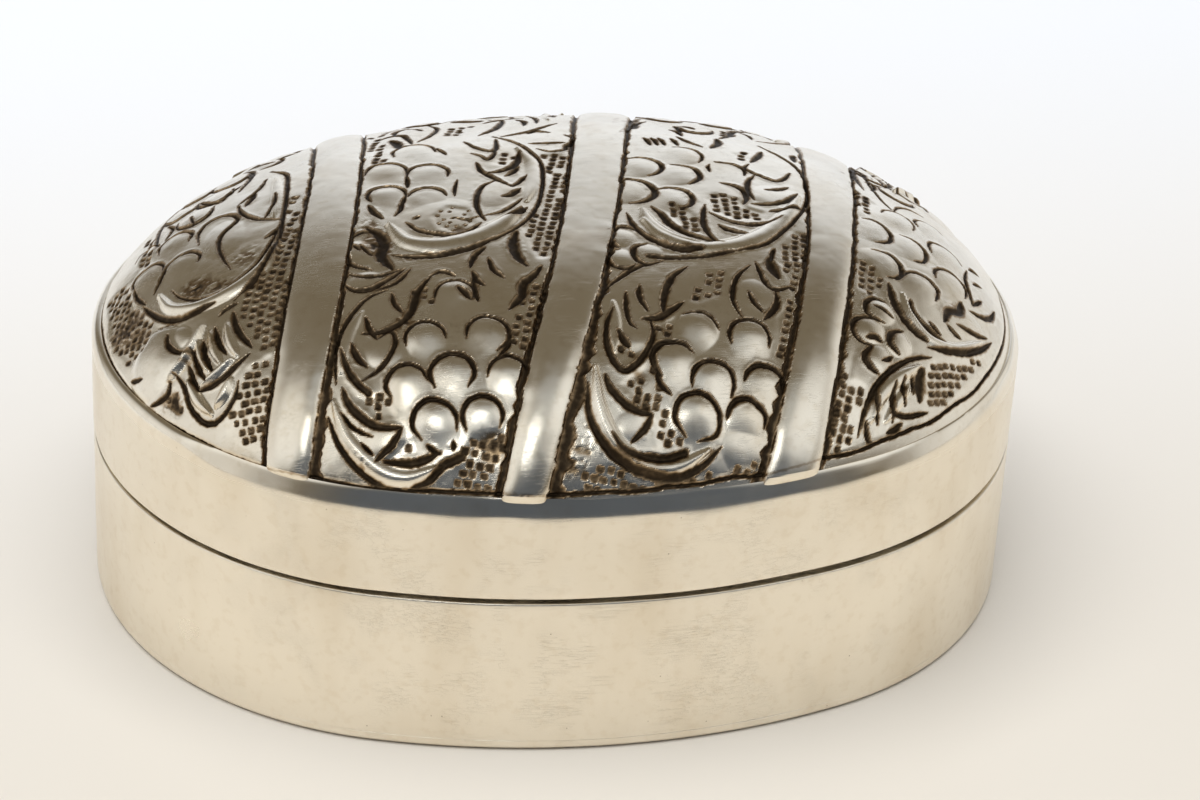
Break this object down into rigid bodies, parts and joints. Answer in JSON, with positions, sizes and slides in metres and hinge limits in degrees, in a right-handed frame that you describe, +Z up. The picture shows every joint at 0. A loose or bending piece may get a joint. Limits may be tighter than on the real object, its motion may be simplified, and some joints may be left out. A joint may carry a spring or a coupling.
{
  "type": "pill box",
  "caption": "Small oval hinged box with plain upright walls and a domed lid chased with scrollwork between plain raised bands.",
  "frame": {"origin": "middle of the underside, where the box rests", "axes": "+X along the length, -Y towards the front, +Y towards the hinge, +Z up through the dome"},
  "size_m": [0.056, 0.0451, 0.0246],
  "materials": {
    "plain_silver": "satin, hand polished, fine scratches",
    "inner_silver": "satin, slightly dulled",
    "chased_silver": "polished high spots, blackened recesses",
    "hinge_silver": "drawn tube, dulled"
  },
  "bodies": {
    "base": {"base_plate": "plain_silver", "base_wall": "plain_silver", "base_collar": "inner_silver", "base_knuckle_1": "hinge_silver", "base_knuckle_2": "hinge_silver", "base_knuckle_3": "hinge_silver", "hinge_pin": "hinge_silver"},
    "lid": {"lid_wall": "plain_silver", "lid_dome": "chased_silver", "lid_knuckle_1": "hinge_silver", "lid_knuckle_2": "hinge_silver"}
  },
  "joints": [
    {"name": "lid_hinge", "type": "hinge", "parent": "base", "child": "lid", "pos_m": [0, 0.0219, 0.0101], "axis": [-1, 0, 0], "range_deg": [0, 105]}
  ]
}
